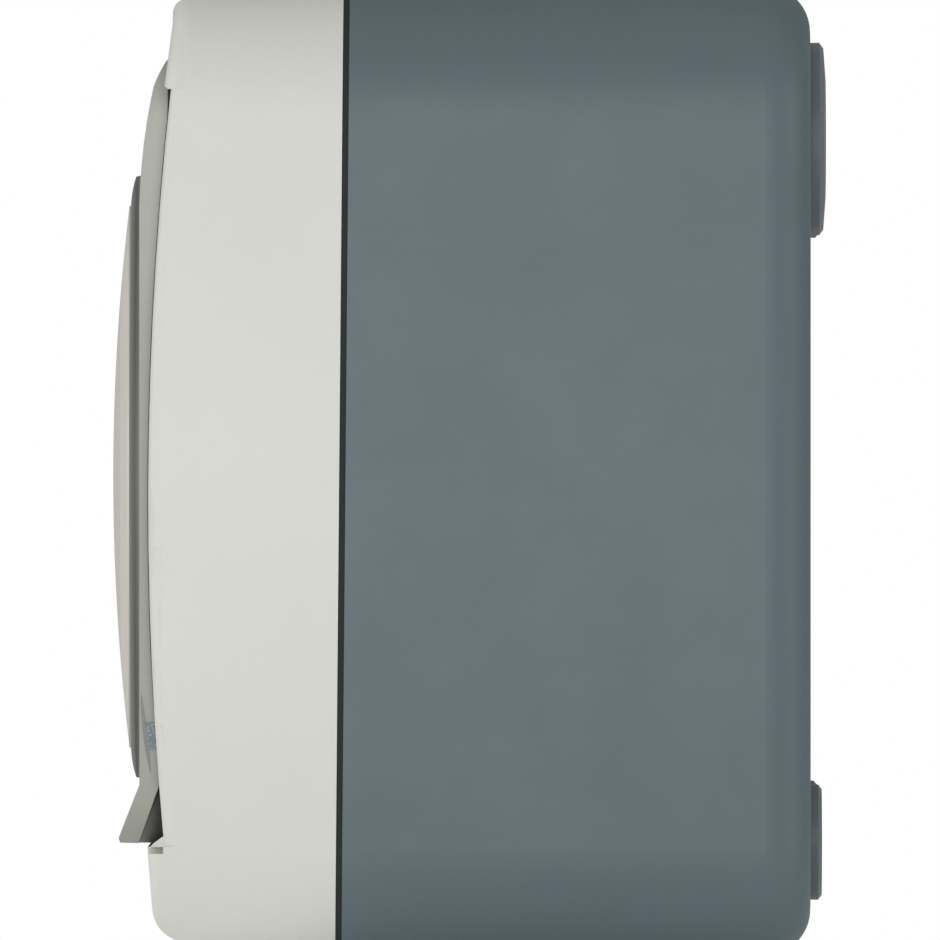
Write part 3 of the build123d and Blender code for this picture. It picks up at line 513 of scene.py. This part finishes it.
def display_digits():
    """Seven-segment figures on the display, showing the time that the hands show."""
    low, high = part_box("display_glass")
    face = low[1] - FIGURE_LIFT
    middle_z = (low[2] + high[2]) / 2
    height, width, stroke, depth = FIGURE_HEIGHT, FIGURE_WIDTH, FIGURE_STROKE, FIGURE_DEPTH
    places = {"a": (0, height / 2, True), "d": (0, -height / 2, True),
              "b": (width / 2, height / 4, False), "c": (width / 2, -height / 4, False),
              "f": (-width / 2, height / 4, False), "e": (-width / 2, -height / 4, False)}
    work = bmesh.new()
    for digit, x in zip("1010", FIGURE_XS):
        for segment in SEGMENTS[digit]:
            dx, dz, flat = places[segment]
            size = (width - stroke, depth, stroke)
            if not flat:
                size = (stroke, depth, height / 2 - stroke)
            add_bar(work, Vector((x + dx, face, middle_z + dz)), size)
    for dz in COLON_ZS:
        add_bar(work, Vector((0, face, middle_z + dz)), (stroke, depth, stroke))
    piece("display_digits", mesh_from(work, "display_digits"), "hand_black", "cover")


def flank_plate(work, outline, x, thickness, bevel):
    """Add a thin bevelled plate with a (y, z) outline to a mesh, standing on a plane of constant x."""
    verts = [work.verts.new((x, y, z)) for y, z in outline]
    face = work.faces.new(verts)
    made = bmesh.ops.extrude_face_region(work, geom=[face])
    top = [item for item in made["geom"] if isinstance(item, bmesh.types.BMVert)]
    bmesh.ops.translate(work, vec=(thickness, 0, 0), verts=top)
    rim = [edge for edge in work.edges if all(vert in top for vert in edge.verts)]
    bmesh.ops.bevel(work, geom=rim, offset=bevel, segments=2, affect="EDGES", profile=0.6)


def crescent(tip_high, tip_low, belly, back, steps=14):
    """Outline of a crescent between two tips: it bulges by belly on one side and by back on the other."""
    high, low = Vector(tip_high), Vector(tip_low)
    along = low - high
    across = Vector((along.y, -along.x)).normalized()
    outline = []
    for bulge, order in ((belly, range(steps + 1)), (back, range(steps - 1, 0, -1))):
        for step in order:
            part = step / steps
            point = high + along * part + across * bulge * math.sin(math.pi * part) ** 0.8
            outline.append(tuple(point))
    return outline


def lid_flanks():
    """On each flank of the lid, a thin dark crescent plate as painted shadow where the flank lies in shade,
    with a mottled catch pad beside it.
    """
    low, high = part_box("lid_shell")
    crescents = bmesh.new()
    catches = bmesh.new()
    for side, x in ((-1, low[0]), (1, high[0])):
        shadow_outline = crescent(*SHADOW_CRESCENT_TIPS, *SHADOW_CRESCENT_BULGES)
        flank_plate(crescents, shadow_outline, x, side * SHADOW_CRESCENT_THICKNESS, SHADOW_CRESCENT_BEVEL)
        flank_plate(catches, CATCH_OUTLINE, x, side * CATCH_THICKNESS, CATCH_BEVEL)
    # Painted shadow: dark crescent plates on the flanks.
    piece("painted_shadow_crescents", mesh_from(crescents, "painted_shadow_crescents"), "bezel_plastic", "lid")
    piece("lid_catches", mesh_from(catches, "lid_catches"), "key_grey", "lid", CATCH_FINISH)


def bow_point(part):
    """Point (y, z) on the cover's bowed front edge, from its foot (0) to its top (1)."""
    foot, middle, top = BOW_FOOT, BOW_MIDDLE, BOW_TOP
    z = foot.y + (top.y - foot.y) * part
    below = (z - middle.y) * (z - top.y) / ((foot.y - middle.y) * (foot.y - top.y)) * foot.x
    centre = (z - foot.y) * (z - top.y) / ((middle.y - foot.y) * (middle.y - top.y)) * middle.x
    above = (z - foot.y) * (z - middle.y) / ((top.y - foot.y) * (top.y - middle.y)) * top.x
    return Vector((below + centre + above, z))


def rim_seals():
    """A thin black bead in the gap between the lid's flanks and the cover's rims, thickest at its top: a
    painted shadow line along the gap.
    """
    lid_low, lid_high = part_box("lid_shell")
    work = bmesh.new()
    steps = 48
    for side, flank in ((-1, lid_low[0]), (1, lid_high[0])):
        inner, outer = flank + side * SHADOW_BEAD_INNER, flank + side * SHADOW_BEAD_OUTER
        rings = []
        for step in range(steps + 1):
            part = SHADOW_BEAD_START + (1 - SHADOW_BEAD_START) * step / steps
            y, z = bow_point(part)
            swelling = min(1.0, 6 * (part - SHADOW_BEAD_START) + 0.25)
            wedge = 3 * max(0.0, (part - SHADOW_BEAD_WEDGE_START) / (1 - SHADOW_BEAD_WEDGE_START))
            proud = SHADOW_BEAD_PROUD * (swelling + wedge)
            section = ((inner, y + SHADOW_BEAD_ROOT), (inner, y - 0.6 * proud), ((inner + outer) / 2, y - proud),
                       (outer, y - 0.6 * proud), (outer, y + SHADOW_BEAD_ROOT))
            rings.append([work.verts.new((x, depth, z)) for x, depth in section])
        for first, second in zip(rings, rings[1:]):
            for corner in range(5):
                after = (corner + 1) % 5
                work.faces.new((first[corner], first[after], second[after], second[corner]))
        work.faces.new(rings[0])
        work.faces.new(rings[-1])
    data = mesh_from(work, "rim_seals")
    data.shade_smooth()
    # Painted shadow: the black bead stands in for the shadow in the gap.
    piece("rim_seals", data, "gasket_rubber", "cover")


# Studio

def studio():
    """Pale floor, white surround and four soft lights."""
    bpy.ops.mesh.primitive_circle_add(vertices=96, radius=FLOOR_RADIUS, fill_type="NGON",
                                      location=(0, 0, -FLOOR_GAP))
    floor = bpy.context.active_object
    floor.name = "studio_floor"
    r = Recipe("studio_floor")
    tone = r.blend(r.noise(4.0), (0.86, 0.86, 0.86, 1), (0.89, 0.89, 0.89, 1))
    r.wire(tone, r.ramp(r.noise(30.0), 0.7, 0.8))
    r.shader.inputs["Emission Color"].default_value = (1, 1, 1, 1)
    r.shader.inputs["Emission Strength"].default_value = 0.2
    floor.data.materials.append(r.material)
    world = bpy.data.worlds.new("studio")
    world.use_nodes = True
    tree = world.node_tree
    seen = tree.nodes["Background"]
    seen.inputs["Color"].default_value = (1, 1, 1, 1)
    lit = tree.nodes.new("ShaderNodeBackground")
    lit.inputs["Strength"].default_value = 0.42
    path = tree.nodes.new("ShaderNodeLightPath")
    mix = tree.nodes.new("ShaderNodeMixShader")
    tree.links.new(path.outputs["Is Camera Ray"], mix.inputs["Fac"])
    tree.links.new(lit.outputs["Background"], mix.inputs[1])
    tree.links.new(seen.outputs["Background"], mix.inputs[2])
    tree.links.new(mix.outputs["Shader"], tree.nodes["World Output"].inputs["Surface"])
    bpy.context.scene.world = world
    soft_light("key", (1.7, -0.3, 0.2), 1.4, 14.2)
    soft_light("front_fill", (0.1, -1.7, 0.6), 1.2, 7.5, (1.0, 0.975, 0.93))
    soft_light("rear_fill", (0.6, 1.6, 0.4), 1.0, 4.0)
    soft_light("top", (0.1, 0.2, 1.8), 0.9, 1.0)


def soft_light(name, place, size, power, colour=(1.0, 1.0, 1.0)):
    """A square area light aimed at the clock's middle."""
    data = bpy.data.lights.new(name, "AREA")
    data.size = size
    data.energy = power
    data.color = colour
    made = bpy.data.objects.new(name, data)
    made.location = place
    aim = Vector((0, 0, VIEW_CENTRE_Z)) - made.location
    made.rotation_euler = aim.to_track_quat("-Z", "Y").to_euler()
    bpy.context.scene.collection.objects.link(made)


def camera():
    """Long lens square on to the clock's side."""
    data = bpy.data.cameras.new("camera")
    data.sensor_width = SENSOR
    data.lens = SENSOR * (CAMERA_DISTANCE - TRUE_SCALE_X) / VIEW_HEIGHT
    data.clip_end = 4 * CAMERA_DISTANCE
    made = bpy.data.objects.new("camera", data)
    made.location = (CAMERA_DISTANCE, 0.0001, VIEW_CENTRE_Z)
    made.rotation_euler = (math.pi / 2, 0, math.pi / 2)
    bpy.context.scene.collection.objects.link(made)
    bpy.context.scene.camera = made


camera()
studio()
bpy.context.scene.view_settings.view_transform = "Standard"
dress_cad_nodes()
dial_track()
dial_numerals()
lens_window()
hand_cap()
display_digits()
lid_flanks()
rim_seals()
